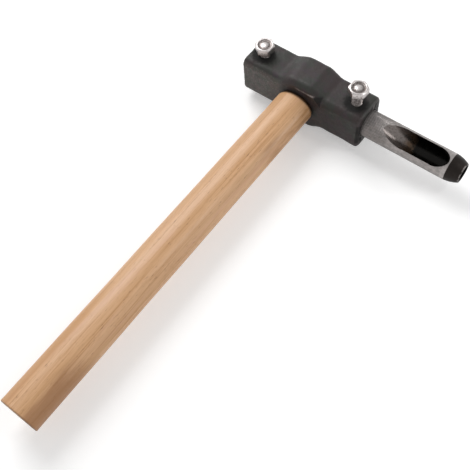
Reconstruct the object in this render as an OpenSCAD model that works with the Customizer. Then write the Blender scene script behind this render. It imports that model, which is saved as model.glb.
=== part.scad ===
// Mushroom inoculation hammer, in millimetres.
// +X runs along the head towards the punch, the handle lies along -Y, and +Z points up
// out of the side that carries the clamp bolts.
// The origin is on the flat of the lower cheek, straight below the middle of the eye.

/* [Head] */
// Length of the head in front of the middle of the eye
head_front = 52.8; // [50:0.1:64]
// Length of the head behind the middle of the eye
head_rear = 49.3; // [47:0.1:62]
// Width of the head, measured along the handle
head_w = 29.4; // [27:0.1:36]
// Height of the head in front of and behind the cheeks
arm_h = 32.4; // [29:0.1:38]
// Height over both cheeks, around the eye
cheek_h = 43; // [40:0.1:50]
// Length of the flat on each cheek
cheek_flat = 19; // [14:0.1:24]
// Length of the slope between a cheek and the arm beside it
cheek_slope = 9.2; // [6:0.1:12]
// How far the cheeks lie in front of the middle of the eye
cheek_shift = 1.5; // [0:0.1:3]
// Radius of the long edges of the forging
edge_r = 5.4; // [2:0.1:7]
// Radius of the edges round the front end
front_edge_r = 2.5; // [1:0.1:4]
// Radius of the edges round the rear end
rear_edge_r = 2; // [1:0.1:4]

/* [Eye and handle] */
// Length of the eye along the head
eye_l = 26; // [22:0.1:27]
// Height of the eye
eye_h = 20; // [17:0.1:22]
// Width of the handle, measured along the head
handle_w = 29.6; // [28:0.1:34]
// Thickness of the handle
handle_t = 24; // [23:0.1:28]
// Length of the handle from the head to the butt
handle_l = 288.3; // [200:0.1:420]
// Radius of the shoulder that seats on the head
shoulder_r = 2; // [0.5:0.1:3]
// Width of the broken edge round the butt
butt_break = 1; // [0.3:0.1:2]
// How far the tenon stands out of the far side of the eye
tenon_proud = 1; // [0.5:0.1:3]
// Gap between the tenon and the wall of the eye
tenon_gap = 0.05; // [0.02:0.01:0.15]

/* [Wedges] */
// Depth that the wooden wedge is driven into the tenon
wedge_depth = 20; // [12:0.1:24]
// Thickness of the wooden wedge at its thick end
wedge_t = 3.2; // [2:0.1:4.5]
// Thickness of the wooden wedge at its thin end
wedge_tip_t = 0.8; // [0.4:0.1:1.5]
// Depth that the steel wedge is driven in
steel_wedge_depth = 14; // [8:0.1:18]
// Width of the steel wedge, across the wooden one
steel_wedge_w = 14; // [10:0.1:16]
// Thickness of the steel wedge at its thick end
steel_wedge_t = 2.4; // [1.5:0.1:3.5]
// Thickness of the steel wedge at its thin end
steel_wedge_tip_t = 0.6; // [0.4:0.1:1]
// Gap between a wedge and the slot that holds it
wedge_gap = 0.03; // [0.01:0.01:0.1]

/* [Punch] */
// Diameter of the punch
punch_d = 20.2; // [18:0.1:21]
// Length of the punch
punch_l = 100.6; // [90:0.1:130]
// Length of the tapered tip
tip_l = 9.7; // [7:0.1:14]
// Diameter of the tip at its cutting edge
tip_d = 14.6; // [13.4:0.1:16]
// Diameter of the hole that the cutting edge makes
mouth_d = 12.4; // [11:0.1:12.8]
// Length of the narrow mouth behind the cutting edge
mouth_l = 8; // [5:0.1:9]
// Diameter of the passage behind the mouth
passage_d = 15.4; // [14.9:0.1:15.8]
// Length of the window in the side of the punch
window_l = 51.2; // [44:0.1:56]
// Width of the window
window_w = 14.8; // [13:0.1:14.8]
// Distance from the window to the start of the tip
window_land = 1; // [0.6:0.1:6]
// Slope of the ramp at the rear end of the window
ramp_slope = 38; // [34:1:46]
// Slope of the front end of the window
window_front_slope = 60; // [55:1:75]
// Angle that the window is turned from straight up towards the handle
window_turn = 21.5; // [0:0.5:45]
// Width of the broken edge round the punch's inner end
punch_break = 1; // [0.3:0.1:2]

/* [Sockets] */
// Depth of each socket
socket_depth = 25; // [20:0.1:26]
// Radial gap between the punch and its socket
socket_gap = 0.08; // [0.02:0.01:0.1]
// Gap between the punch and the floor of its socket
seat_gap = 0.2; // [0.05:0.05:0.5]
// Width of the countersink round the mouth of a socket
socket_sink = 1.2; // [0.5:0.1:2]

/* [Clamp bolts] */
// Outer diameter of the bolt's thread
bolt_d = 8; // [6:0.1:9]
// Pitch of the thread
thread_pitch = 1.25; // [0.75:0.05:1.5]
// Depth of the thread
thread_depth = 0.6; // [0.3:0.05:0.7]
// Radial gap between the thread and its hole
thread_gap = 0.05; // [0.02:0.01:0.1]
// Width of the hexagon across its flats
hex_w = 13; // [12:0.1:15]
// Height of the hexagon
hex_h = 5.3; // [4:0.1:7]
// Diameter of the dish in the top of the hexagon
dish_d = 11; // [8:0.1:11.5]
// Depth of that dish
dish_depth = 0.5; // [0.2:0.1:1]
// Length of the front bolt below its hexagon
front_bolt_l = 16; // [12:0.1:30]
// Length of the rear bolt below its hexagon
rear_bolt_l = 10; // [9:0.1:24]
// Distance of the front bolt from the front end
front_bolt_inset = 11.3; // [9:0.1:15]
// Distance of the rear bolt from the rear end
rear_bolt_inset = 10.6; // [9:0.1:14]
// Angle of the front hexagon's corner from the head's axis
front_hex_turn = -33; // [-60:1:60]
// Angle of the rear hexagon's corner from the head's axis
rear_hex_turn = -36; // [-60:1:60]
// Gap between a bolt's tip and the punch, or the socket's wall
bolt_tip_gap = 0.05; // [0.02:0.01:0.2]

/* [Hidden] */

// Sides of a full circle
round_n = 64;
// Straight pieces in a quarter of a rounded edge
edge_steps = 4;
// Sides of the handle's oval
oval_n = 56;
// A cutter runs this far past what it cuts
over = 1;
// Thickness of the thin slices that a rounded form is stretched between
sliver = 0.01;
// The window's straight sides stand in by this much from the sides of its round ends
side_step = 0.1;
// Slope of the bevel round the top of a hexagon
hex_bevel = 30;

axis_z = cheek_h / 2;
cheek_l = cheek_flat + 2 * cheek_slope;
front_bolt_x = head_front - front_bolt_inset;
rear_bolt_x = rear_bolt_inset - head_rear;
socket_r = punch_d / 2 + socket_gap;
front_socket_floor = head_front - socket_depth;
punch_x = front_socket_floor + seat_gap;
tip_x = punch_x + punch_l - tip_l;
window_front = tip_x - window_land;
window_rear = window_front - window_l;
window_r = window_w / 2;
// The ramp's cutter and the front cutter cross the axis of the punch here
ramp_x = window_rear + punch_d / 2 / tan(ramp_slope) + window_r / sin(ramp_slope);
window_front_x = window_front - punch_d / 2 / tan(window_front_slope)
    - window_r / sin(window_front_slope);
hex_r = hex_w / 2 / cos(30);
hex_top_d = 0.95 * hex_w;
// The far end of the tenon, where both wedges are driven in
tenon_end = head_w / 2 + tenon_proud;

// Points of a quarter circle, from one angle to 90 degrees further on
function quarter(cx, cy, r, from) =
    [for (i = [0 : edge_steps]) [cx + r * cos(from + 90 * i / edge_steps),
        cy + r * sin(from + 90 * i / edge_steps)]];

// Points of a rectangle of height h from x0 to x1, with radius r0 at x0 and r1 at x1
function rounded_outline(x0, x1, h, r0, r1) = concat(
    quarter(x1 - r1, h / 2 - r1, r1, 0),
    quarter(x0 + r0, h / 2 - r0, r0, 90),
    quarter(x0 + r0, r0 - h / 2, r0, 180),
    quarter(x1 - r1, r1 - h / 2, r1, 270));

// Points of the handle's oval
function oval(w, h) = [for (i = [0 : oval_n - 1])
    [w / 2 * cos(360 * i / oval_n), h / 2 * sin(360 * i / oval_n)]];

// Stands a flat outline up, so that its own y becomes z and it runs along y
module along_y(from, to) {
    translate([0, to, 0])
        rotate([90, 0, 0])
            linear_extrude(to - from)
                children();
}

// Stands a flat outline up, so that its own x becomes y, its y becomes z, and it runs along x
module along_x(from, to) {
    translate([from, 0, 0])
        rotate([90, 0, 90])
            linear_extrude(to - from)
                children();
}

// A round bar or cone about the axis of the sockets
module rod_x(from, to, r0, r1) {
    translate([from, 0, 0])
        rotate([0, 90, 0])
            cylinder(h = to - from, r1 = r0, r2 = r1, $fn = round_n);
}

// The two arms of the head: side, top and end outlines cut from one bar
module arms() {
    intersection() {
        head_section(-head_rear, head_front, arm_h);
        along_y(-head_w, head_w)
            polygon(rounded_outline(-head_rear, head_front, arm_h, rear_edge_r, front_edge_r));
        translate([0, 0, -arm_h])
            linear_extrude(2 * arm_h)
                polygon(rounded_outline(-head_rear, head_front, head_w,
                    rear_edge_r, front_edge_r));
    }
}

// A stretch of bar with the head's width and its rounded long edges
module head_section(from, to, h) {
    along_x(from, to)
        polygon(rounded_outline(-head_w / 2, head_w / 2, h, edge_r, edge_r));
}

// The thicker part round the eye, with a slope down to each arm
module cheeks() {
    translate([cheek_shift, 0, 0])
        hull() {
            head_section(-cheek_flat / 2, cheek_flat / 2, cheek_h);
            head_section(-cheek_l / 2, sliver - cheek_l / 2, arm_h);
            head_section(cheek_l / 2 - sliver, cheek_l / 2, arm_h);
        }
}

// A slot with round ends, as long as l and as high as h
module eye_outline(l, h) {
    square([l - h, h], center = true);
    for (side = [-1, 1])
        translate([side * (l - h) / 2, 0])
            circle(d = h, $fn = round_n);
}

// A blind hole that opens at +x, with a countersunk mouth
module socket(floor_x, mouth_x) {
    rod_x(floor_x, mouth_x + over, socket_r, socket_r);
    rod_x(mouth_x - socket_sink, mouth_x + over, socket_r, socket_r + socket_sink + over);
}

// The tapped hole of a clamp bolt, from the top of the arm into the socket
module bolt_hole(x) {
    translate([x, 0, 0])
        cylinder(h = arm_h / 2 + over, d = bolt_d + 2 * thread_gap, $fn = round_n);
}

module head() {
    color("#3a3838")
        translate([0, 0, axis_z])
            difference() {
                union() {
                    arms();
                    cheeks();
                }
                along_y(-head_w, head_w)
                    eye_outline(eye_l, eye_h);
                socket(front_socket_floor, head_front);
                mirror([1, 0, 0])
                    socket(head_rear - socket_depth, head_rear);
                bolt_hole(front_bolt_x);
                bolt_hole(rear_bolt_x);
            }
}

// A wedge that narrows towards -y, seen from above or from the side
module wedge_outline(t0, t1, depth) {
    polygon([[-t1 / 2, tenon_end - depth], [t1 / 2, tenon_end - depth],
        [t0 / 2, tenon_end], [-t0 / 2, tenon_end]]);
}

// The wooden wedge runs along the eye, and is as wide as the tenon
module wooden_wedge_blank(gap) {
    rotate([0, -90, 0])
        linear_extrude(2 * eye_l, center = true)
            wedge_outline(wedge_t + 2 * gap, wedge_tip_t + 2 * gap, wedge_depth + gap);
}

// The steel wedge stands across the wooden one
module steel_wedge_blank(gap) {
    linear_extrude(steel_wedge_w + 2 * gap, center = true)
        wedge_outline(steel_wedge_t + 2 * gap, steel_wedge_tip_t + 2 * gap,
            steel_wedge_depth + gap);
}

// The end of the handle that fills the eye
module tenon() {
    along_y(-head_w / 2, tenon_end)
        eye_outline(eye_l - 2 * tenon_gap, eye_h - 2 * tenon_gap);
}

// The handle's oval between two places along y, drawn in by inset at each end
module handle_slice(y0, inset0, y1, inset1) {
    hull() {
        along_y(y0, y0 + sliver)
            polygon(oval(handle_w - 2 * inset0, handle_t - 2 * inset0));
        along_y(y1 - sliver, y1)
            polygon(oval(handle_w - 2 * inset1, handle_t - 2 * inset1));
    }
}

module handle() {
    shoulder_y = -head_w / 2;
    butt_y = shoulder_y - handle_l;
    color("#d9a566")
        translate([0, 0, axis_z])
            difference() {
                union() {
                    handle_slice(butt_y, butt_break, butt_y + butt_break, 0);
                    along_y(butt_y + butt_break, shoulder_y - shoulder_r)
                        polygon(oval(handle_w, handle_t));
                    for (i = [0 : 1])
                        handle_slice(shoulder_y - shoulder_r * (1 - sin(45 * i)),
                            shoulder_r * (1 - cos(45 * i)),
                            shoulder_y - shoulder_r * (1 - sin(45 * (i + 1))),
                            shoulder_r * (1 - cos(45 * (i + 1))));
                    tenon();
                }
                wooden_wedge_blank(wedge_gap);
                steel_wedge_blank(wedge_gap);
            }
}

module wooden_wedge() {
    color("#b98549")
        translate([0, 0, axis_z])
            difference() {
                intersection() {
                    wooden_wedge_blank(0);
                    tenon();
                }
                steel_wedge_blank(wedge_gap);
            }
}

module steel_wedge() {
    color("#6e7073")
        translate([0, 0, axis_z])
            steel_wedge_blank(0);
}

// A ball-ended cutter that starts at x on the axis and leaves upwards at a slope
module window_cutter(x, slope) {
    translate([x, 0, 0])
        rotate([0, 90 - slope, 0])
            rotate_extrude($fn = round_n)
                intersection() {
                    union() {
                        circle(r = window_r, $fn = round_n);
                        translate([-window_r, 0])
                            square([2 * window_r, 2 * punch_d]);
                    }
                    translate([0, -punch_d])
                        square([punch_d, 4 * punch_d]);
                }
}

// The window, its ramp and the stretch between its two slanted ends
module window() {
    rise = punch_d;
    wall_w = window_w - 2 * side_step;
    rotate([window_turn, 0, 0]) {
        window_cutter(ramp_x, 180 - ramp_slope);
        window_cutter(window_front_x, window_front_slope);
        along_y(-wall_w / 2, wall_w / 2)
            polygon([[ramp_x, 0], [window_front_x, 0],
                [window_front_x + rise / tan(window_front_slope), rise],
                [ramp_x - rise / tan(ramp_slope), rise]]);
    }
}

module punch() {
    punch_r = punch_d / 2;
    tip_end = punch_x + punch_l;
    color("#b9bbbd")
        translate([0, 0, axis_z])
            difference() {
                union() {
                    rod_x(punch_x, punch_x + punch_break, punch_r - punch_break, punch_r);
                    rod_x(punch_x + punch_break, tip_x, punch_r, punch_r);
                    rod_x(tip_x, tip_end, punch_r, tip_d / 2);
                }
                rod_x(tip_end - mouth_l - over, tip_end + over, mouth_d / 2, mouth_d / 2);
                rod_x(ramp_x, tip_end - mouth_l, passage_d / 2, passage_d / 2);
                window();
            }
}

// Outline of the threaded shank, from its tip at z = 0 up to its length l
function thread_outline(l) = concat([[0, 0], [bolt_d / 2 - thread_depth, 0]],
    [for (i = [0 : floor(l / thread_pitch - 0.5)], step = [0.25, 0.75])
        [bolt_d / 2 - (step < 0.5 ? 0 : thread_depth), (i + step) * thread_pitch]],
    [[bolt_d / 2 - thread_depth, l], [0, l]]);

// A bolt whose tip is at the origin, with a length l below its hexagon
module bolt(l, turn) {
    rotate_extrude($fn = round_n)
        polygon(thread_outline(l));
    translate([0, 0, l])
        difference() {
            intersection() {
                rotate([0, 0, turn])
                    cylinder(h = hex_h, r = hex_r, $fn = 6);
                cylinder(h = hex_h, d1 = hex_top_d + 2 * hex_h / tan(hex_bevel),
                    d2 = hex_top_d, $fn = round_n);
            }
            translate([0, 0, hex_h - dish_depth])
                cylinder(h = dish_depth + over, d = dish_d, $fn = round_n);
        }
}

module front_bolt() {
    color("#a9abad")
        translate([front_bolt_x, 0, axis_z + punch_d / 2 + bolt_tip_gap])
            bolt(front_bolt_l, front_hex_turn);
}

module rear_bolt() {
    color("#a9abad")
        translate([rear_bolt_x, 0, axis_z + socket_r + bolt_tip_gap])
            bolt(rear_bolt_l, rear_hex_turn);
}

head();
handle();
wooden_wedge();
steel_wedge();
punch();
front_bolt();
rear_bolt();
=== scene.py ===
"""Looks of a mushroom inoculation hammer: forged head, wooden handle, hollow punch and two clamp bolts."""

import math

import bmesh
import bpy
import numpy as np
from mathutils import Matrix, Vector, noise


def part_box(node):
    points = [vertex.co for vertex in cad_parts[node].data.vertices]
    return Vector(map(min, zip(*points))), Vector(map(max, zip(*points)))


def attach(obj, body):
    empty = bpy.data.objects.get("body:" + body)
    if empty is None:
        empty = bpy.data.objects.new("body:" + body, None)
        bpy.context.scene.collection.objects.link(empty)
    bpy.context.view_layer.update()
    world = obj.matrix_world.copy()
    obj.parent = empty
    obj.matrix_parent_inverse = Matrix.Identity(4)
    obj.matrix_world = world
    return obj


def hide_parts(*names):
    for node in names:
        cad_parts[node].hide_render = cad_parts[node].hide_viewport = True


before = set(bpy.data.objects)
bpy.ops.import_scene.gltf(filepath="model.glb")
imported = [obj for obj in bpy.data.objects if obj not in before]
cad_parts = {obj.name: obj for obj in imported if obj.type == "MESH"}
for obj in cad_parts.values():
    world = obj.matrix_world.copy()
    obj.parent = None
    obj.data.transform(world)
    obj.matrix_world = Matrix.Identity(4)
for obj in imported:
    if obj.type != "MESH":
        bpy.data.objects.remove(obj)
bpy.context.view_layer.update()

MM = 0.001
TURN = 2 * math.pi

# Places and sizes that come from the frame, in metres
HEAD_LOW, HEAD_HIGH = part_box("head")
HANDLE_LOW, HANDLE_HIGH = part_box("handle")
PUNCH_LOW, PUNCH_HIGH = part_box("punch")
FRONT_BOLT_LOW, FRONT_BOLT_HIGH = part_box("front_bolt")
REAR_BOLT_LOW, REAR_BOLT_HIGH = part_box("rear_bolt")
BOLT_BOXES = ((FRONT_BOLT_LOW, FRONT_BOLT_HIGH), (REAR_BOLT_LOW, REAR_BOLT_HIGH))
BOLT_XS = [(low.x + high.x) / 2 for low, high in BOLT_BOXES]
AXIS_Z = (HEAD_LOW.z + HEAD_HIGH.z) / 2
HEAD_HALF_W = HEAD_HIGH.y
CHEEK_HALF_H = HEAD_HIGH.z - AXIS_Z
PUNCH_R = (PUNCH_HIGH.z - PUNCH_LOW.z) / 2

# Sizes of the forging
ARM_HALF_H = 16.2 * MM
CHEEK_FLAT = 19 * MM
CHEEK_SLOPE = 9.2 * MM
CHEEK_SHIFT = 1.5 * MM
LONG_EDGE_R = 5.4 * MM
FRONT_EDGE_R = 2.5 * MM
REAR_EDGE_R = 2 * MM
EYE_L = 26 * MM
EYE_H = 20 * MM
SOCKET_R = 10.18 * MM
SOCKET_DEPTH = 25 * MM
SOCKET_SINK = 1.2 * MM

# Sizes of the punch
TIP_L = 9.7 * MM
TIP_R = 7.3 * MM
MOUTH_R = 6.2 * MM
MOUTH_L = 8 * MM
PASSAGE_R = 7.7 * MM
WINDOW_L = 51.2 * MM
WINDOW_R = 7.4 * MM
WINDOW_LAND = 1 * MM
RAMP_SLOPE = math.radians(38)
WINDOW_FRONT_SLOPE = math.radians(60)
WINDOW_TURN = math.radians(21.5)
TIP_X = PUNCH_HIGH.x - TIP_L
TIP_SINK = 0.12 * MM
RING_W = 3 * MM
KNURL_X = 48 * MM
KNURL_STARTS = 46
KNURL_ANGLE = math.radians(40)
KNURL_DEPTH = 0.32 * MM
KNURL_DEPTH_LOST = 0.17 * MM
KNURL_WORN_X = 64 * MM
KNURL_WORN_L = 14 * MM

# Sizes of the bolts
BOLT_R = 4 * MM
THREAD_PITCH = 1.25 * MM
THREAD_DEPTH = 0.6 * MM
HEX_HALF_W = 6.5 * MM
HEX_H = 5.3 * MM
HEX_RIM_R = 6.175 * MM
FRONT_HEX_TURN = math.radians(-33)
REAR_HEX_TURN = math.radians(-36)
HOLE_R = 4.05 * MM

# Sizes of the handle and its wedges
SHOULDER_Y = -HEAD_HALF_W
BUTT_BREAK = 1 * MM
TENON_GAP = 0.05 * MM


def new_object(name, mesh):
    """A new object for a mesh, linked to the scene."""
    obj = bpy.data.objects.new(name, mesh)
    bpy.context.scene.collection.objects.link(obj)
    return obj


def closed_loft(name, rings):
    """A closed mesh through rings of points, with a point in the middle of each end."""
    rings = np.asarray(rings, float)
    count, size = rings.shape[:2]
    points = np.vstack([rings.reshape(-1, 3), rings[0].mean(0), rings[-1].mean(0)])
    first, last = count * size, count * size + 1
    faces = []
    for i in range(count - 1):
        a, b = i * size, (i + 1) * size
        faces += [(a + j, a + (j + 1) % size, b + (j + 1) % size, b + j) for j in range(size)]
    end = (count - 1) * size
    faces += [(first, (j + 1) % size, j) for j in range(size)]
    faces += [(last, end + j, end + (j + 1) % size) for j in range(size)]
    mesh = bpy.data.meshes.new(name)
    mesh.from_pydata([tuple(p) for p in points], [], faces)
    shell = bmesh.new()
    shell.from_mesh(mesh)
    bmesh.ops.recalc_face_normals(shell, faces=shell.faces)
    shell.to_mesh(mesh)
    shell.free()
    return new_object(name, mesh)


def apply_modifiers(obj):
    """Turns what the modifiers make into the object's own mesh."""
    depsgraph = bpy.context.evaluated_depsgraph_get()
    mesh = bpy.data.meshes.new_from_object(obj.evaluated_get(depsgraph))
    obj.modifiers.clear()
    obj.data = mesh


def cut(obj, cutters, material):
    """Takes the cutters out of obj. Cut faces get the material."""
    for cutter in cutters:
        cutter.data.materials.append(material)
        modifier = obj.modifiers.new("cut", "BOOLEAN")
        modifier.operation = "DIFFERENCE"
        modifier.solver = "MANIFOLD"
        modifier.object = cutter
        modifier.material_mode = "TRANSFER"
        apply_modifiers(obj)
        bpy.data.objects.remove(cutter)


def shade(obj, angle):
    """Smooth shading with sharp edges where two faces meet at more than an angle in degrees."""
    mesh = obj.data
    for polygon in mesh.polygons:
        polygon.use_smooth = True
    mesh.set_sharp_from_angle(angle=math.radians(angle))


def lathe_rings(profile, size, place):
    """Rings from (distance along the axis, radius) pairs. place turns the three into a point."""
    angles = np.arange(size) * TURN / size
    return [[place(along, radius, angle) for angle in angles] for along, radius in profile]


def about_x(along, radius, angle):
    """A point about the axis of the sockets."""
    return (along, radius * math.cos(angle), AXIS_Z + radius * math.sin(angle))


def relief(points, scales, seed):
    """Sum of noises for each point. scales holds (wavelength, height) pairs."""
    shift = Vector((seed * 7.3, seed * 3.1, seed * 5.7))
    out = np.zeros(len(points))
    for wavelength, height in scales:
        out += [height * noise.noise(Vector(p) / wavelength + shift) for p in points]
    return out


def mesh_points(mesh):
    """The mesh's vertices as an array."""
    points = np.zeros(len(mesh.vertices) * 3)
    mesh.vertices.foreach_get("co", points)
    return points.reshape(-1, 3)


def mesh_normals(mesh):
    """The mesh's vertex normals as an array."""
    normals = np.zeros(len(mesh.vertices) * 3)
    mesh.vertices.foreach_get("normal", normals)
    return normals.reshape(-1, 3)


def set_points(mesh, points):
    """Moves the mesh's vertices."""
    mesh.vertices.foreach_set("co", np.asarray(points, float).ravel())
    mesh.update()


class Nodes:
    """Short calls for building a node material."""

    def __init__(self, name):
        self.material = bpy.data.materials.new(name)
        self.material.use_nodes = True
        self.tree = self.material.node_tree
        self.tree.nodes.clear()
        self.shader = self.add("ShaderNodeBsdfPrincipled")
        output = self.add("ShaderNodeOutputMaterial")
        self.link(self.shader.outputs[0], output.inputs["Surface"])

    def add(self, kind, **settings):
        """A node with its properties set."""
        node = self.tree.nodes.new(kind)
        for key, value in settings.items():
            setattr(node, key, value)
        return node

    def link(self, source, target):
        """Joins two sockets, or sets the target's own value."""
        if isinstance(source, bpy.types.NodeSocket):
            self.tree.links.new(source, target)
        else:
            target.default_value = source

    def place(self, scale=(1, 1, 1)):
        """Coordinates in the object's frame, in millimetres, times a scale."""
        source = self.add("ShaderNodeTexCoord").outputs["Object"]
        mapped = self.add("ShaderNodeMapping", vector_type="POINT")
        self.link(source, mapped.inputs["Vector"])
        mapped.inputs["Scale"].default_value = [share / MM for share in scale]
        return mapped.outputs[0]

    def noise(self, vector, size, detail=3, rough=0.5, distort=0.0, seed=0.0):
        """Noise with a grain of about size, from 0 to 1."""
        node = self.add("ShaderNodeTexNoise", noise_dimensions="4D")
        self.link(vector, node.inputs["Vector"])
        node.inputs["W"].default_value = seed
        node.inputs["Scale"].default_value = 1 / size
        node.inputs["Detail"].default_value = detail
        node.inputs["Roughness"].default_value = rough
        node.inputs["Distortion"].default_value = distort
        return node.outputs["Fac"]

    def span(self, value, low, high, out_low=0.0, out_high=1.0, smooth=True):
        """Maps value from low..high to out_low..out_high."""
        node = self.add("ShaderNodeMapRange")
        node.interpolation_type = "SMOOTHSTEP" if smooth else "LINEAR"
        self.link(value, node.inputs["Value"])
        node.inputs["From Min"].default_value = low
        node.inputs["From Max"].default_value = high
        node.inputs["To Min"].default_value = out_low
        node.inputs["To Max"].default_value = out_high
        return node.outputs["Result"]

    def math(self, operation, a, b):
        """One arithmetic step."""
        node = self.add("ShaderNodeMath", operation=operation)
        for source, target in zip((a, b), node.inputs):
            self.link(source, target)
        return node.outputs[0]

    def mix(self, factor, a, b):
        """Mixes two colours. A tuple stands for a plain colour."""
        node = self.add("ShaderNodeMix", data_type="RGBA")
        node.clamp_factor = True
        self.link(factor, node.inputs["Factor"])
        for source, target in ((a, node.inputs[6]), (b, node.inputs[7])):
            self.link((*source, 1) if isinstance(source, tuple) else source, target)
        return node.outputs[2]

    def parts(self, vector):
        """The three numbers of a vector."""
        node = self.add("ShaderNodeSeparateXYZ")
        self.link(vector, node.inputs[0])
        return node.outputs

    def attribute(self, name):
        """A number stored on the mesh."""
        return self.add("ShaderNodeAttribute", attribute_name=name).outputs["Fac"]

    def bump(self, height, distance, strength=1.0, before=None):
        """A bump of a real height in millimetres."""
        node = self.add("ShaderNodeBump")
        node.inputs["Distance"].default_value = distance * MM
        node.inputs["Strength"].default_value = strength
        self.link(height, node.inputs["Height"])
        if before is not None:
            self.link(before, node.inputs["Normal"])
        return node.outputs[0]

    def finish(self, color, roughness, normal=None, **plain):
        """Links the shader. plain holds sockets that are the same all over."""
        self.link((*color, 1) if isinstance(color, tuple) else color, self.shader.inputs["Base Color"])
        self.link(roughness, self.shader.inputs["Roughness"])
        if normal is not None:
            self.link(normal, self.shader.inputs["Normal"])
        for key, value in plain.items():
            self.link(value, self.shader.inputs[key.replace("_", " ")])
        return self.material


# Materials

def forged_material():
    """Black forging scale in brown, purple and green tints, with painted light on the back arm's near side, a
    worn ridge under a painted highlight, a black stain and painted shadow round the bolts, and painted shade
    on the cheek's slanted face and round the punch.
    """
    n = Nodes("forged_steel")
    place = n.place()
    x, y = n.parts(place)[:2]
    broad = n.noise(place, 11, 3, 0.6, seed=1)
    patches = n.noise(place, 5, 4, 0.6, seed=2)
    speckle = n.noise(place, 1.1, 3, 0.7, seed=3)
    fine = n.noise(place, 0.5, 4, 0.65, seed=4)
    color = n.mix(n.span(broad, 0.38, 0.62), (0.031, 0.021, 0.021), (0.023, 0.025, 0.020))
    color = n.mix(n.span(patches, 0.52, 0.68), color, (0.036, 0.025, 0.030))
    color = n.mix(n.span(speckle, 0.55, 0.8, 0, 0.35), color, (0.060, 0.055, 0.050))
    # Painted light: the near side of the back arm gets a lighter tint, standing in for the light that falls
    # on it there.
    lit_rear_side = n.math("MULTIPLY", n.span(x, -12, -18), n.span(y, -12.6, -14.2))
    scale = n.mix(n.span(patches, 0.4, 0.6), (0.075, 0.058, 0.054), (0.062, 0.066, 0.056))
    scale = n.mix(n.span(speckle, 0.5, 0.7, 0, 0.7), scale, (0.17, 0.15, 0.14))
    color = n.mix(n.math("MULTIPLY", lit_rear_side, n.span(broad, 0.3, 0.5, 0.6, 1)), color, scale)
    wear = n.math("MULTIPLY", n.attribute("wear"), n.span(speckle, 0.35, 0.6))
    color = n.mix(n.math("MULTIPLY", wear, 0.6), color, (0.10, 0.094, 0.088))
    # Worn bare metal along the ridge above the handle, partly a painted highlight of that ridge.
    color = n.mix(n.attribute("rubbed_and_highlit"), color, (0.42, 0.37, 0.36))
    # A black stain and painted shadow round the bolts, painted shade on the cheek's slanted face and round
    # the punch.
    color = n.mix(n.attribute("stained_and_shaded"), color, (0.006, 0.0055, 0.005))
    rough = n.math("ADD", n.span(patches, 0.3, 0.7, 0.46, 0.60), n.span(n.attribute("stained_and_shaded"), 0, 1, 0, 0.3))
    normal = n.bump(fine, 0.10, 0.6)
    normal = n.bump(speckle, 0.12, 0.6, normal)
    return n.finish(color, rough, normal, Specular_IOR_Level=0.38)


def bore_material():
    """Machined steel inside the sockets and tapped holes, dull and oily."""
    n = Nodes("bored_steel")
    place = n.place(scale=(6, 1, 1))
    lines = n.noise(place, 2, 2, seed=5)
    color = n.mix(n.span(lines, 0.3, 0.7), (0.018, 0.016, 0.015), (0.05, 0.046, 0.042))
    return n.finish(color, n.span(lines, 0.3, 0.7, 0.4, 0.55), n.bump(lines, 0.05, 0.5), Metallic=0.6)


def wood_color(n, light, middle, dark, pore):
    """Straight open grain along Y: broad bands, growth lines, fibres and pores."""
    bands = n.noise(n.place(scale=(1, 0.03, 1)), 5, 3, 0.55, 0.5, seed=6)
    lines = n.noise(n.place(scale=(1, 0.018, 1)), 1.3, 2, 0.5, 0.2, seed=7)
    fibre = n.noise(n.place(scale=(1, 0.05, 1)), 0.55, 3, 0.6, seed=8)
    dashes = n.noise(n.place(scale=(1, 0.10, 1)), 0.45, 2, 0.5, seed=9)
    color = n.mix(n.span(bands, 0.35, 0.65), light, middle)
    color = n.mix(n.span(lines, 0.50, 0.72, 0, 0.75), color, dark)
    color = n.mix(n.span(fibre, 0.45, 0.75, 0, 0.5), color, dark)
    color = n.mix(n.span(fibre, 0.45, 0.25, 0, 0.4), color, light)
    open_grain = n.math("MULTIPLY", n.span(dashes, 0.60, 0.72), n.span(lines, 0.40, 0.60, 0.15, 0.8))
    color = n.mix(open_grain, color, pore)
    return color, open_grain


def handle_material():
    """Sanded light hardwood under thin varnish, near black where the shoulder meets the head and browner at
    the butt.
    """
    n = Nodes("handle_wood")
    color, open_grain = wood_color(n, (0.72, 0.43, 0.235), (0.61, 0.345, 0.165), (0.50, 0.245, 0.09),
                                   (0.22, 0.085, 0.025))
    x, y = n.parts(n.place())[:2]
    cloud = n.noise(n.place(scale=(1, 0.12, 1)), 6, 4, 0.6, seed=13)
    wave = n.span(cloud, 0.25, 0.75, -1, 1, smooth=False)
    blush = n.span(n.noise(n.place(scale=(1, 0.06, 1)), 4, 3, seed=14), 0.5, 0.7, 0, 0.5)
    color = n.mix(blush, color, (0.66, 0.375, 0.235))
    side = n.span(n.math("ADD", x, n.math("MULTIPLY", wave, 4)), 3, 10)
    along = n.span(n.math("ADD", y, n.math("MULTIPLY", wave, 12)), -245, -275)
    color = n.mix(n.math("MULTIPLY", n.math("MULTIPLY", side, along), 0.75), color, (0.33, 0.145, 0.05))
    left = n.span(n.math("ADD", x, wave), -4, -7)
    amber = n.math("MULTIPLY", left, n.span(y, -195, -240, 0, 0.6))
    color = n.mix(amber, color, (0.53, 0.26, 0.09))
    near = n.math("MULTIPLY", n.span(x, 7, 11), n.span(y, -80, -60))
    color = n.mix(n.math("MULTIPLY", near, n.span(cloud, 0.45, 0.65, 0, 0.7)), color, (0.36, 0.165, 0.055))
    # Near black where the shoulder meets the head.
    shoulder = n.span(n.math("ADD", y, n.math("MULTIPLY", wave, 0.4)), -18.6, -16.2)
    color = n.mix(n.math("MULTIPLY", shoulder, 0.93), color, (0.035, 0.014, 0.006))
    butt = n.span(y, -302.0, -302.8, 0, 0.6)
    color = n.mix(butt, color, (0.20, 0.09, 0.035))
    normal = n.bump(n.math("SUBTRACT", 1.0, open_grain), 0.10, 0.7)
    return n.finish(color, 0.5, normal, Coat_Weight=0.25, Coat_Roughness=0.22, Coat_IOR=1.45)


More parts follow.
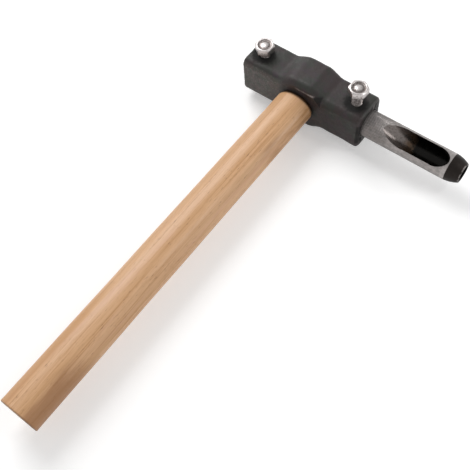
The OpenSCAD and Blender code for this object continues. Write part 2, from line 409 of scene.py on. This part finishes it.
def wedge_wood_material():
    """Darker sawn hardwood of the wooden wedge."""
    n = Nodes("wedge_wood")
    color, open_grain = wood_color(n, (0.42, 0.24, 0.11), (0.35, 0.19, 0.08), (0.26, 0.13, 0.05),
                                   (0.12, 0.05, 0.02))
    return n.finish(color, 0.65, n.bump(n.math("SUBTRACT", 1.0, open_grain), 0.12, 0.8))


def punch_material():
    """Dull bright steel, with grime and painted shade in the knurl's grooves, and its tip blackened."""
    n = Nodes("punch_steel")
    place = n.place()
    x = n.parts(place)[0]
    grime = n.noise(place, 2.5, 4, 0.6, seed=10)
    spots = n.noise(place, 0.7, 3, 0.6, seed=11)
    color = n.mix(n.span(grime, 0.35, 0.7), (0.42, 0.385, 0.375), (0.29, 0.275, 0.265))
    color = n.mix(n.span(spots, 0.5, 0.75, 0, 0.5), color, (0.20, 0.185, 0.175))
    # Grime and painted shade in the knurl's grooves, darker the deeper the groove.
    color = n.mix(n.math("MULTIPLY", n.attribute("groove"), 0.9), color, (0.045, 0.040, 0.036))
    start = n.span(x, TIP_X / MM - 0.15, TIP_X / MM + 0.05)
    edge = n.span(x, PUNCH_HIGH.x / MM - 0.9, PUNCH_HIGH.x / MM - 0.5)
    black = n.mix(n.span(spots, 0.55, 0.8, 0, 0.5), (0.020, 0.016, 0.014), (0.055, 0.047, 0.042))
    black = n.mix(n.math("MULTIPLY", edge, n.span(grime, 0.45, 0.6)), black, (0.20, 0.18, 0.17))
    color = n.mix(start, color, black)
    rough = n.math("ADD", n.span(grime, 0.3, 0.7, 0.30, 0.42), n.math("MULTIPLY", start, 0.12))
    return n.finish(color, rough, n.bump(spots, 0.03, 0.6), Metallic=0.85)


def punch_inside_material():
    """The inside of the punch: bare metal on the ramp, a bronze stain at its foot, then near black deeper in.
    """
    n = Nodes("punch_inside")
    place = n.place()
    x = n.parts(place)[0]
    stain = n.noise(place, 3.5, 4, 0.6, seed=12)
    streak = n.noise(n.place(scale=(0.25, 1, 1)), 1.2, 3, 0.6, seed=15)
    wave = n.span(stain, 0.3, 0.7, -2, 2, smooth=False)
    along = n.math("ADD", x, wave)
    color = n.mix(n.span(along, 80, 86), (0.20, 0.175, 0.165), (0.13, 0.085, 0.055))
    color = n.mix(n.span(streak, 0.45, 0.7, 0, 0.6), color, (0.07, 0.058, 0.052))
    # Near black further along the passage.
    color = n.mix(n.span(along, 87, 90), color, (0.010, 0.009, 0.008))
    rough = n.span(stain, 0.3, 0.7, 0.22, 0.36)
    return n.finish(color, rough, n.bump(streak, 0.05, 0.5), Metallic=0.75)


def zinc_material(name, base_tone, dark_tone):
    """Bright steel, a little dull, darker where the mesh stores a darkening share: the plated bolts and the
    plain wedge.
    """
    n = Nodes(name)
    place = n.place()
    cloud = n.noise(place, 1.2, 4, 0.65, seed=16)
    # Darker where the mesh stores a darkening share, plus a random cloud.
    darkening = n.math("ADD", n.attribute("darkening"), n.span(cloud, 0.4, 0.75, -0.15, 0.35))
    color = n.mix(n.span(darkening, 0.0, 1.0), base_tone, dark_tone)
    rough = n.span(cloud, 0.3, 0.7, 0.26, 0.42)
    return n.finish(color, rough, n.bump(cloud, 0.05, 0.7), Metallic=1.0)


# Pieces

def end_inset(distance, radius):
    """How far a rounded end has drawn in at a distance from the end face."""
    if distance >= radius:
        return 0.0
    return radius - math.sqrt(max(0.0, radius ** 2 - (radius - distance) ** 2))


def cheek_profile(x):
    """Half the height of the forging at x, with straight slopes from the cheeks to the arms."""
    past_flat = abs(x - CHEEK_SHIFT) - CHEEK_FLAT / 2
    share = min(max(past_flat / CHEEK_SLOPE, 0.0), 1.0)
    return CHEEK_HALF_H + share * (ARM_HALF_H - CHEEK_HALF_H)


def head_half_height(x):
    """The cheek profile with its corners blended."""
    reach, steps = 3.2 * MM, 6
    offsets = [reach * i / steps for i in range(-steps, steps + 1)]
    weights = [math.cos(math.pi / 2 * i / (steps + 1)) for i in range(-steps, steps + 1)]
    total = sum(w * cheek_profile(x + d) for w, d in zip(weights, offsets))
    return total / sum(weights)


def rounded_section(half_w, half_h, radius, corner_steps, side_steps):
    """Points of a rounded rectangle about the head's axis, as (y, z) pairs."""
    points = []
    corners = ((1, 1, 0), (-1, 1, 90), (-1, -1, 180), (1, -1, 270))
    for side_y, side_z, start in corners:
        centre = (side_y * (half_w - radius), side_z * (half_h - radius))
        for i in range(corner_steps + 1):
            angle = math.radians(start + 90 * i / corner_steps)
            points.append((centre[0] + radius * math.cos(angle), centre[1] + radius * math.sin(angle)))
        if side_y * side_z > 0:
            length = 2 * (half_w - radius)
            step = (-side_y * length / side_steps, 0)
        else:
            length = 2 * (half_h - radius)
            step = (0, -side_z * length / side_steps)
        start_point = points[-1]
        for i in range(1, side_steps):
            points.append((start_point[0] + i * step[0], start_point[1] + i * step[1]))
    return points


def head_blank():
    """The forging before its holes are made."""
    step = 0.45 * MM
    corner_steps, side_steps = 14, 34
    rings = []
    span = HEAD_HIGH.x - HEAD_LOW.x
    count = int(span / step)
    stations = [HEAD_LOW.x + span * (i / count) for i in range(count + 1)]
    near_end = [d * MM for d in (0.02, 0.08, 0.18, 0.32)]
    stations = sorted(stations + [HEAD_LOW.x + d for d in near_end] + [HEAD_HIGH.x - d for d in near_end])
    for x in stations:
        inset = end_inset(x - HEAD_LOW.x, REAR_EDGE_R) + end_inset(HEAD_HIGH.x - x, FRONT_EDGE_R)
        section = rounded_section(HEAD_HALF_W - inset, head_half_height(x) - inset,
                                  LONG_EDGE_R - 0.5 * inset, corner_steps, side_steps)
        rings.append([(x, y, AXIS_Z + z) for y, z in section])
    caps = [1 - i / 26 for i in range(1, 26)]
    first, last = np.array(rings[0]), np.array(rings[-1])
    for share in caps:
        for end, place in ((first, 0), (last, len(rings))):
            middle = end.mean(0)
            ring = middle + (end - middle) * share
            rings.insert(place, ring.tolist())
    return closed_loft("forged_head", rings)


def rod_x(name, profile, size=128):
    """A solid of revolution about the axis of the sockets."""
    return closed_loft(name, lathe_rings(profile, size, about_x))


def rod_z(name, x, profile, size=96):
    """A solid of revolution about a bolt's axis."""
    def place(along, radius, angle):
        return (x + radius * math.cos(angle), radius * math.sin(angle), along)
    return closed_loft(name, lathe_rings(profile, size, place))


def stadium(half_l, half_h, steps):
    """Points of a slot with round ends, as (x, z) pairs."""
    points = []
    for side, start in ((1, -90), (-1, 90)):
        for i in range(steps + 1):
            angle = math.radians(start + 180 * i / steps)
            points.append((side * (half_l - half_h) + half_h * math.cos(angle), half_h * math.sin(angle)))
    return points


def eye_cutter():
    """The eye, with a worn rim at both mouths."""
    over = 2 * MM
    rim = 0.7 * MM
    profile = [(-HEAD_HALF_W - over, rim + over), (-HEAD_HALF_W + rim, 0),
               (HEAD_HALF_W - rim, 0), (HEAD_HALF_W + over, rim + over)]
    rings = []
    for y, grow in profile:
        outline = stadium(EYE_L / 2 + grow, EYE_H / 2 + grow, 48)
        rings.append([(x, y, AXIS_Z + z) for x, z in outline])
    return closed_loft("eye_cutter", rings)


def make_head():
    """The forged head, with its eye, sockets and bolt holes."""
    head = head_blank()
    mesh = head.data
    points = mesh_points(mesh)
    scales = ((16 * MM, 0.30 * MM), (5 * MM, 0.14 * MM), (1.8 * MM, 0.07 * MM))
    height = relief(points, scales, 1) - 0.12 * MM
    points += mesh_normals(mesh) * height[:, None]
    points[:, 2] = np.clip(points[:, 2], HEAD_LOW.z, HEAD_HIGH.z)
    points[:, 0] = np.clip(points[:, 0], HEAD_LOW.x, HEAD_HIGH.x)
    set_points(mesh, points)
    store_wear(mesh)
    store_marks(mesh)
    mesh.materials.append(forged_material())
    over = 2 * MM
    cutters = [eye_cutter()]
    for end, way in ((HEAD_HIGH.x, 1), (HEAD_LOW.x, -1)):
        cutters.append(rod_x("socket_cutter", [
            (end - way * SOCKET_DEPTH, SOCKET_R), (end - way * SOCKET_SINK, SOCKET_R),
            (end + way * over, SOCKET_R + SOCKET_SINK + over)]))
    hole_sink = 0.8 * MM
    for bolt_x in BOLT_XS:
        cutters.append(rod_z("bolt_hole_cutter", bolt_x, [
            (AXIS_Z + SOCKET_R - over, HOLE_R), (AXIS_Z + ARM_HALF_H - hole_sink, HOLE_R),
            (AXIS_Z + ARM_HALF_H + over, HOLE_R + over + hole_sink)]))
    cut(head, cutters, bore_material())
    shade(head, 32)
    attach(head, "hammer")
    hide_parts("head")


def store(mesh, name, values):
    """Stores a number for each vertex."""
    layer = mesh.attributes.new(name, "FLOAT", "POINT")
    layer.data.foreach_set("value", np.asarray(values, np.float32))


def smooth_step(value, low, high):
    """Rises smoothly from 0 at low to 1 at high."""
    share = np.clip((value - low) / (high - low), 0, 1)
    return share * share * (3 - 2 * share)


def store_wear(mesh):
    """Stores how far each vertex stands out of its surroundings, from 0 to 1."""
    points = mesh_points(mesh)
    edges = np.zeros(len(mesh.edges) * 2, int)
    mesh.edges.foreach_get("vertices", edges)
    a, b = edges[0::2], edges[1::2]
    degree = np.bincount(edges, minlength=len(points)).astype(float)[:, None]
    smooth = points.copy()
    for _ in range(12):
        total = np.zeros_like(smooth)
        np.add.at(total, a, smooth[b])
        np.add.at(total, b, smooth[a])
        smooth = 0.5 * smooth + 0.5 * total / degree
    out = ((points - smooth) * mesh_normals(mesh)).sum(1)
    store(mesh, "wear", smooth_step(out, 0.16 * MM, 0.40 * MM))


def store_marks(mesh):
    """Stores the worn ridge above the handle with its painted highlight, and the black stain, painted shadow
    and painted shade round the bolts, on the cheek's slanted face and round the punch.
    """
    points = mesh_points(mesh) / MM
    x, y, z = points.T
    ragged = relief(points * MM, ((1.6 * MM, 1.0), (0.7 * MM, 0.6)), 5)
    ridge_z = CHEEK_HALF_H / MM + AXIS_Z / MM - LONG_EDGE_R / MM
    near_ridge = 1 - smooth_step(abs(z - ridge_z), 0.3, 0.9)
    on_side = smooth_step(-y, 13.2, 14.0)
    strong_end = 0.45 + 0.55 * smooth_step(x, 8, 12)
    # Worn bare metal on the ridge, partly a painted highlight along it.
    rubbed_and_highlit = near_ridge * on_side * smooth_step(x, -3, 1) * (1 - smooth_step(x, 14.5, 15.5)) * strong_end
    store(mesh, "rubbed_and_highlit", rubbed_and_highlit * np.clip(0.65 + 0.8 * ragged, 0, 1))
    stain_and_shade = np.zeros(len(points))
    # A black stain round each bolt with painted shadow, shifted towards -Y where the bolt's shadow falls.
    for bolt_x in BOLT_XS:
        away = np.hypot(x - bolt_x / MM, y + 1.5) + 1.2 * ragged
        stain_and_shade = np.maximum(stain_and_shade, (1 - smooth_step(away, 6.5, 11)) * smooth_step(z, 34, 36))
    # Painted shade on the slanted face past the cheek, which faces away from the key lamp.
    shaded_facet = smooth_step(x, 13.8, 14.4) * (1 - smooth_step(x, 19.8, 20.8)) * (1 - smooth_step(z, 37.6, 38.6))
    facet_foot = 37 - 1.08 * (x - 14)
    shaded_facet = shaded_facet * smooth_step(z - facet_foot, -0.5, 0.5) * smooth_step(-y, 9, 10.5)
    # Painted shade in the band round the punch at the front end.
    off_axis = abs(z - AXIS_Z / MM)
    shaded_front_band = smooth_step(x, 50.2, 51.2) * smooth_step(-y, 9, 11) * (1 - smooth_step(off_axis, 8, 11))
    stain_and_shade = np.maximum(stain_and_shade, np.maximum(0.8 * shaded_facet, 0.8 * shaded_front_band))
    store(mesh, "stained_and_shaded", np.clip(stain_and_shade, 0, 1))


def knurl(x, angle):
    """Depth of the diamond knurl below the crests, from 0 to 1."""
    lead = TURN * PUNCH_R / math.tan(KNURL_ANGLE)
    along = KNURL_STARTS * x / lead
    around = KNURL_STARTS * angle / TURN
    first = abs(((around + along) % 1) - 0.5) * 2
    second = abs(((around - along) % 1) - 0.5) * 2
    return max(first, second) ** 2


def knurl_depth(x):
    """Depth of the knurl along the punch: crisp by the head, worn further out."""
    worn = min(max((x - KNURL_WORN_X) / KNURL_WORN_L, 0), 1)
    return KNURL_DEPTH - KNURL_DEPTH_LOST * worn


def punch_blank():
    """The punch's outside: knurled shank, smooth ring, tapered tip."""
    size = 6 * KNURL_STARTS
    step = 0.27 * MM
    plain_step = 1.8 * MM
    break_w = 1 * MM
    knurl_end = TIP_X - RING_W
    crest = PUNCH_R - 0.01 * MM
    tip_low_r = TIP_R + 0.23 * MM
    rings = []
    groove = []

    def ring(x, radius, depth=0.0):
        cuts = [knurl(x, j * TURN / size) if depth else 0.0 for j in range(size)]
        rings.append([about_x(x, radius - depth * c, j * TURN / size) for j, c in enumerate(cuts)])
        groove.extend(depth / KNURL_DEPTH * c for c in cuts)

    ring(PUNCH_LOW.x, PUNCH_R - break_w)
    ring(PUNCH_LOW.x + break_w, crest)
    for i in range(1, 10):
        ring(PUNCH_LOW.x + break_w + i * plain_step, crest)
    count = int((knurl_end - KNURL_X) / step)
    for i in range(count):
        x = KNURL_X + i * step
        ring(x, crest, knurl_depth(x))
    ring(knurl_end, crest)
    ring(TIP_X - 0.3 * MM, crest)
    ring(TIP_X, crest - TIP_SINK)
    tip_steps = 16
    for i in range(1, tip_steps):
        share = i / tip_steps
        bulge = 0.5 * MM * math.sin(math.pi * share)
        radius = PUNCH_R - TIP_SINK + share * (tip_low_r - PUNCH_R + TIP_SINK) + bulge
        ring(TIP_X + share * (TIP_L - 0.5 * MM), radius)
    ring(PUNCH_HIGH.x - 0.5 * MM, TIP_R + 0.22 * MM)
    ring(PUNCH_HIGH.x, TIP_R - 0.1 * MM)
    blank = closed_loft("hollow_punch", rings)
    store(blank.data, "groove", groove + [0.0, 0.0])
    return blank


def window_frame():
    """Turns the window's own up direction towards the handle."""
    return Matrix.Translation((0, 0, AXIS_Z)) @ Matrix.Rotation(WINDOW_TURN, 4, "X")


def ball_cutter(x, slope):
    """A ball-ended cutter whose ball is on the axis at x, and which leaves upwards at a slope."""
    reach = 40 * MM
    profile = [(-WINDOW_R * math.cos(a), WINDOW_R * math.sin(a)) for a in np.linspace(0.02, math.pi / 2, 40)]
    profile.append((reach, WINDOW_R))
    turned = window_frame() @ Matrix.Translation((x, 0, 0)) @ Matrix.Rotation(math.pi / 2 - slope, 4, "Y")

    def place(along, radius, angle):
        return turned @ Vector((radius * math.cos(angle), radius * math.sin(angle), along))
    return closed_loft("window_cutter", lathe_rings(profile, 160, place))


def window_middle_cutter(rear_x, front_x):
    """The straight stretch of the window between its two slanted ends."""
    rise = 2 * PUNCH_R
    half_w = WINDOW_R - 0.1 * MM
    outline = [(rear_x, 0), (front_x, 0), (front_x + rise / math.tan(WINDOW_FRONT_SLOPE), rise),
               (rear_x - rise / math.tan(RAMP_SLOPE), rise)]
    turned = window_frame()
    rings = [[turned @ Vector((x, y, z)) for x, z in outline] for y in (-half_w, half_w)]
    return closed_loft("window_middle_cutter", rings)


def make_punch():
    """The hollow punch with its window."""
    punch = punch_blank()
    punch.data.materials.append(punch_material())
    over = 2 * MM
    window_front = TIP_X - WINDOW_LAND
    window_rear = window_front - WINDOW_L
    ramp_x = window_rear + PUNCH_R / math.tan(RAMP_SLOPE) + WINDOW_R / math.sin(RAMP_SLOPE)
    front_x = window_front - PUNCH_R / math.tan(WINDOW_FRONT_SLOPE) - WINDOW_R / math.sin(WINDOW_FRONT_SLOPE)
    mouth_x = PUNCH_HIGH.x - MOUTH_L
    cutters = [
        rod_x("mouth_cutter", [(mouth_x - over, MOUTH_R), (PUNCH_HIGH.x + over, MOUTH_R)]),
        rod_x("passage_cutter", [(ramp_x, PASSAGE_R), (mouth_x, PASSAGE_R)]),
        ball_cutter(ramp_x, math.pi - RAMP_SLOPE),
        ball_cutter(front_x, WINDOW_FRONT_SLOPE),
        window_middle_cutter(ramp_x, front_x),
    ]
    cut(punch, cutters, punch_inside_material())
    shade(punch, 30)
    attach(punch, "punch_body")
    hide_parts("punch")


def hex_radius(angle, turn):
    """Distance from the axis to the hexagon's side."""
    sector = math.radians(60)
    offset = (angle - turn) % sector - sector / 2
    return HEX_HALF_W / math.cos(offset)


def thread_radius(z, angle, tip_z, neck_z):
    """Radius of the thread at a height and an angle."""
    phase = (z / THREAD_PITCH - angle / TURN) % 1
    groove = min(1.0, abs(phase - 0.5) * 2 * 1.25)
    radius = BOLT_R - THREAD_DEPTH * (1 - groove)
    radius = min(radius, BOLT_R - 1.0 * MM + (z - tip_z))
    return radius if z < neck_z else min(radius, BOLT_R - 0.3 * MM)


def make_bolt(name, low, high, turn):
    """A hexagon bolt with a dished top and a real thread."""
    size = 144
    x = (low.x + high.x) / 2
    seat = high.z - HEX_H
    slope = math.tan(math.radians(30))
    rings = []
    darkening = []

    def ring(radius_at, z_at, darken):
        points = []
        for j in range(size):
            angle = j * TURN / size
            radius = radius_at(angle)
            points.append((x + radius * math.cos(angle), radius * math.sin(angle), z_at(angle)))
        rings.append(points)
        darkening.extend([darken] * size)

    def flat_ring(radius, z, darken):
        ring(lambda angle: radius, lambda angle: z, darken)

    # Each ring's darkening share: low at the centre, most in the dish, none on the rim, rising down the sides
    # to the seat.
    dish = ((0.3, -0.12, 0.1), (1.0, -0.15, 0.12), (1.7, -0.24, 0.2), (2.3, -0.38, 0.35), (2.9, -0.54, 0.7),
            (3.5, -0.62, 0.85), (4.2, -0.64, 0.8), (4.7, -0.58, 0.8), (5.0, -0.45, 0.75), (5.2, -0.2, 0.6),
            (5.35, -0.05, 0.2), (5.5, 0, 0), (5.95, 0, 0))
    for radius, depth, darken in dish:
        flat_ring(radius * MM, high.z + depth * MM, darken)
    lip = 0.07 * MM
    flat_ring(HEX_RIM_R + 0.02 * MM, high.z - lip, 0)
    for share in (0.3, 0.6, 0.85, 1.0):
        def radius_at(angle, share=share):
            return HEX_RIM_R + share * (hex_radius(angle, turn) - HEX_RIM_R)

        def z_at(angle, share=share):
            return high.z - lip - slope * (radius_at(angle, share) - HEX_RIM_R)
        ring(radius_at, z_at, 0.1)
    sides = ((3.6, 0, 0.2), (2.2, 0, 0.35), (0.8, 0, 0.5), (0.25, 0, 0.55), (0.05, 0.12, 0.5), (0, 0.3, 0.8))
    for height, shrink, darken in sides:
        ring(lambda angle, shrink=shrink: hex_radius(angle, turn) - shrink * MM,
             lambda angle, height=height: seat + height * MM, darken)
    flat_ring(HEX_HALF_W - 0.5 * MM, seat, 0.9)
    length = seat - low.z
    count = int(length / (THREAD_PITCH / 10))
    for i in range(count + 1):
        z = seat - length * i / count
        ring(lambda angle, z=z: thread_radius(z, angle, low.z, seat - 1.2 * MM), lambda angle, z=z: z, 0.75)
    bolt = closed_loft(name, rings)
    store(bolt.data, "darkening", darkening + [0.1, 0.75])
    shade(bolt, 28)
    return bolt


def make_bolts():
    """Both clamp bolts."""
    material = zinc_material("zinc_steel", (0.60, 0.56, 0.55), (0.10, 0.082, 0.075))
    sets = (("front_clamp_bolt", "front_bolt", FRONT_BOLT_LOW, FRONT_BOLT_HIGH, FRONT_HEX_TURN),
            ("rear_clamp_bolt", "rear_bolt", REAR_BOLT_LOW, REAR_BOLT_HIGH, REAR_HEX_TURN))
    for name, node, low, high, turn in sets:
        bolt = make_bolt(name, low, high, turn)
        bolt.data.materials.append(material)
        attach(bolt, node + "_body")
        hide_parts(node)


def handle_blank():
    """The handle: butt, oval grip, rounded shoulder and the tenon that fills the eye."""
    size = 192
    half_w, half_t = HANDLE_HIGH.x, (HANDLE_HIGH.z - HANDLE_LOW.z) / 2
    butt = HANDLE_LOW.y
    shoulder_r = 3 * MM
    rings = []

    def oval(y, inset):
        points = []
        for j in range(size):
            angle = j * TURN / size
            across, up = (half_w - inset) * math.cos(angle), (half_t - inset) * math.sin(angle)
            points.append((across, y, AXIS_Z + up))
        rings.append(points)

    for share in (0.15, 0.3, 0.45, 0.6, 0.75, 0.9):
        oval(butt, BUTT_BREAK + (1 - share) * (half_t - BUTT_BREAK))
    for i in range(7):
        angle = math.pi / 2 * i / 6
        oval(butt + BUTT_BREAK * (1 - math.cos(angle)), BUTT_BREAK * (1 - math.sin(angle)))
    grip = SHOULDER_Y - shoulder_r - butt - BUTT_BREAK
    count = 220
    for i in range(1, count):
        y = butt + BUTT_BREAK + grip * i / count
        swell = 0.12 * MM * noise.noise(Vector((0, y / (45 * MM), 0)))
        oval(y, 0.1 * MM + swell)
    for i in range(9):
        angle = math.pi / 2 * i / 8
        oval(SHOULDER_Y - shoulder_r * (1 - math.sin(angle)), shoulder_r * (1 - math.cos(angle)))
    tenon = stadium(EYE_L / 2 - TENON_GAP, EYE_H / 2 - TENON_GAP, size // 2 - 1)
    quarter_turn = size // 4
    tenon = tenon[quarter_turn:] + tenon[:quarter_turn]
    far = HANDLE_HIGH.y
    for y, shrink in ((SHOULDER_Y, 1), (far - 0.4 * MM, 1), (far - 0.1 * MM, 0.985), (far, 0.96)):
        rings.append([(x * shrink, y, AXIS_Z + z * shrink) for x, z in tenon])
    for share in (0.8, 0.6, 0.4, 0.2):
        rings.append([(x * share, far, AXIS_Z + z * share) for x, z in tenon])
    return closed_loft("wooden_handle", rings)


def slot_cutter(node, across, gap):
    """The slot for a wedge, from the wedge's own box and taper. across is the axis that it is thin along."""
    low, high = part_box(node)
    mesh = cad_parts[node].data
    points = mesh_points(mesh)
    deep = points[points[:, 1] < low.y + 0.1 * MM]
    thin = abs(deep[:, across] - (low[across] + high[across]) / 2).max() + gap
    thick = (high[across] - low[across]) / 2 + gap
    over = 1 * MM
    slope = (thick - thin) / (high.y - low.y)
    wide_axis = 2 if across == 0 else 0
    wide = (high[wide_axis] - low[wide_axis]) / 2 + (gap if across == 0 else 2 * MM)
    middle = (low + high) / 2
    rings = []
    for y, half in ((low.y - gap, thin), (high.y + over, thick + slope * over)):
        ring = []
        for a, b in ((1, 1), (-1, 1), (-1, -1), (1, -1)):
            point = [0, y, 0]
            point[across] = middle[across] + a * half
            point[wide_axis] = middle[wide_axis] + b * wide
            ring.append(tuple(point))
        rings.append(ring)
    return closed_loft("slot_cutter", rings)


def make_handle():
    """The wooden handle, and finishes for its wedges."""
    handle = handle_blank()
    wood = handle_material()
    handle.data.materials.append(wood)
    gap = 0.03 * MM
    cut(handle, [slot_cutter("wooden_wedge", 2, gap), slot_cutter("steel_wedge", 0, gap)], wood)
    shade(handle, 35)
    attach(handle, "hammer")
    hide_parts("handle")
    finishes = (("wooden_wedge", wedge_wood_material()),
                ("steel_wedge", zinc_material("wedge_steel", (0.30, 0.29, 0.29), (0.10, 0.09, 0.08))))
    for node, material in finishes:
        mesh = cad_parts[node].data
        mesh.materials.clear()
        mesh.materials.append(material)


# Stage, light and camera

def make_floor():
    """A pale floor that keeps a soft shadow."""
    size = 4.0
    mesh = bpy.data.meshes.new("floor")
    corners = [(-size, -size, 0), (size, -size, 0), (size, size, 0), (-size, size, 0)]
    mesh.from_pydata(corners, [], [(0, 1, 2, 3)])
    floor = new_object("floor", mesh)
    n = Nodes("floor_paper")
    grain = n.noise(n.place(), 3, 3, seed=20)
    color = n.mix(grain, (0.86, 0.86, 0.86), (0.84, 0.84, 0.84))
    paths = n.add("ShaderNodeLightPath")
    seen = n.math("MAXIMUM", paths.outputs["Is Camera Ray"],
                  n.math("MAXIMUM", paths.outputs["Is Glossy Ray"], paths.outputs["Is Transmission Ray"]))
    n.link(n.math("MULTIPLY", seen, 0.35), n.shader.inputs["Emission Strength"])
    n.shader.inputs["Emission Color"].default_value = (1, 1, 1, 1)
    mesh.materials.append(n.finish(color, 0.9))


def make_world():
    """A pale studio, plain white to the camera and a little darker overhead in its light and reflections."""
    lit_level, zenith = 0.55, 0.55
    world = bpy.data.worlds.new("studio")
    bpy.context.scene.world = world
    world.use_nodes = True
    tree = world.node_tree
    back = tree.nodes["Background"]
    back.inputs["Color"].default_value = (1, 1, 1, 1)

    def add(kind, **settings):
        node = tree.nodes.new(kind)
        for key, value in settings.items():
            setattr(node, key, value)
        return node

    paths = add("ShaderNodeLightPath")
    mirrored = add("ShaderNodeMath", operation="MAXIMUM")
    tree.links.new(paths.outputs["Is Glossy Ray"], mirrored.inputs[0])
    tree.links.new(paths.outputs["Is Transmission Ray"], mirrored.inputs[1])
    level = add("ShaderNodeMapRange")
    level.inputs["To Min"].default_value = lit_level
    tree.links.new(mirrored.outputs[0], level.inputs["Value"])
    split = add("ShaderNodeSeparateXYZ")
    tree.links.new(add("ShaderNodeTexCoord").outputs["Generated"], split.inputs[0])
    height = add("ShaderNodeMapRange", interpolation_type="SMOOTHSTEP")
    height.inputs["From Min"].default_value = 0.15
    height.inputs["From Max"].default_value = 0.95
    height.inputs["To Min"].default_value = 1.0
    height.inputs["To Max"].default_value = zenith
    tree.links.new(split.outputs[2], height.inputs["Value"])
    shaded = add("ShaderNodeMath", operation="MULTIPLY")
    tree.links.new(level.outputs["Result"], shaded.inputs[0])
    tree.links.new(height.outputs["Result"], shaded.inputs[1])
    strength = add("ShaderNodeMath", operation="MAXIMUM")
    tree.links.new(paths.outputs["Is Camera Ray"], strength.inputs[0])
    tree.links.new(shaded.outputs[0], strength.inputs[1])
    tree.links.new(strength.outputs[0], back.inputs["Strength"])


def make_lamp(name, place, target, size, power):
    """A soft square lamp aimed at a point."""
    light = bpy.data.lights.new(name, "AREA")
    light.shape = "SQUARE"
    light.size = size
    light.energy = power
    lamp = new_object(name, light)
    lamp.location = place
    lamp.rotation_euler = (Vector(target) - Vector(place)).to_track_quat("-Z", "Y").to_euler()


def make_camera():
    """The photograph's camera."""
    place = Vector((200.3, -309.3, 457.3)) * MM
    yaw, pitch, roll = -0.756, 1.054, -0.120
    lens_px, frame_px, sensor = 752.1, 470, 36
    forward = Vector((math.cos(pitch) * math.sin(yaw), math.cos(pitch) * math.cos(yaw), -math.sin(pitch)))
    level = forward.cross(Vector((0, 0, 1))).normalized()
    rise = level.cross(forward)
    right = math.cos(roll) * level + math.sin(roll) * rise
    up = -math.sin(roll) * level + math.cos(roll) * rise
    data = bpy.data.cameras.new("photo_camera")
    data.sensor_fit = "HORIZONTAL"
    data.sensor_width = sensor
    data.lens = lens_px * sensor / frame_px
    data.clip_start = 0.01
    camera = new_object("photo_camera", data)
    turned = Matrix((right, up, -forward)).transposed().to_4x4()
    camera.matrix_world = Matrix.Translation(place) @ turned
    bpy.context.scene.camera = camera


make_head()
make_punch()
make_bolts()
make_handle()
make_floor()
make_world()
make_lamp("key_lamp", (-0.85, 0.30, 1.05), (0, -0.1, 0), 0.8, 12)
make_lamp("streak_lamp", (0.65, 0.23, 0.92), (0, -0.12, 0), 0.2, 1.2)
make_lamp("front_lamp", (0.95, 0.60, 0.45), (0.05, -0.02, 0.02), 0.35, 2.5)
make_camera()
bpy.context.scene.view_settings.view_transform = "Standard"
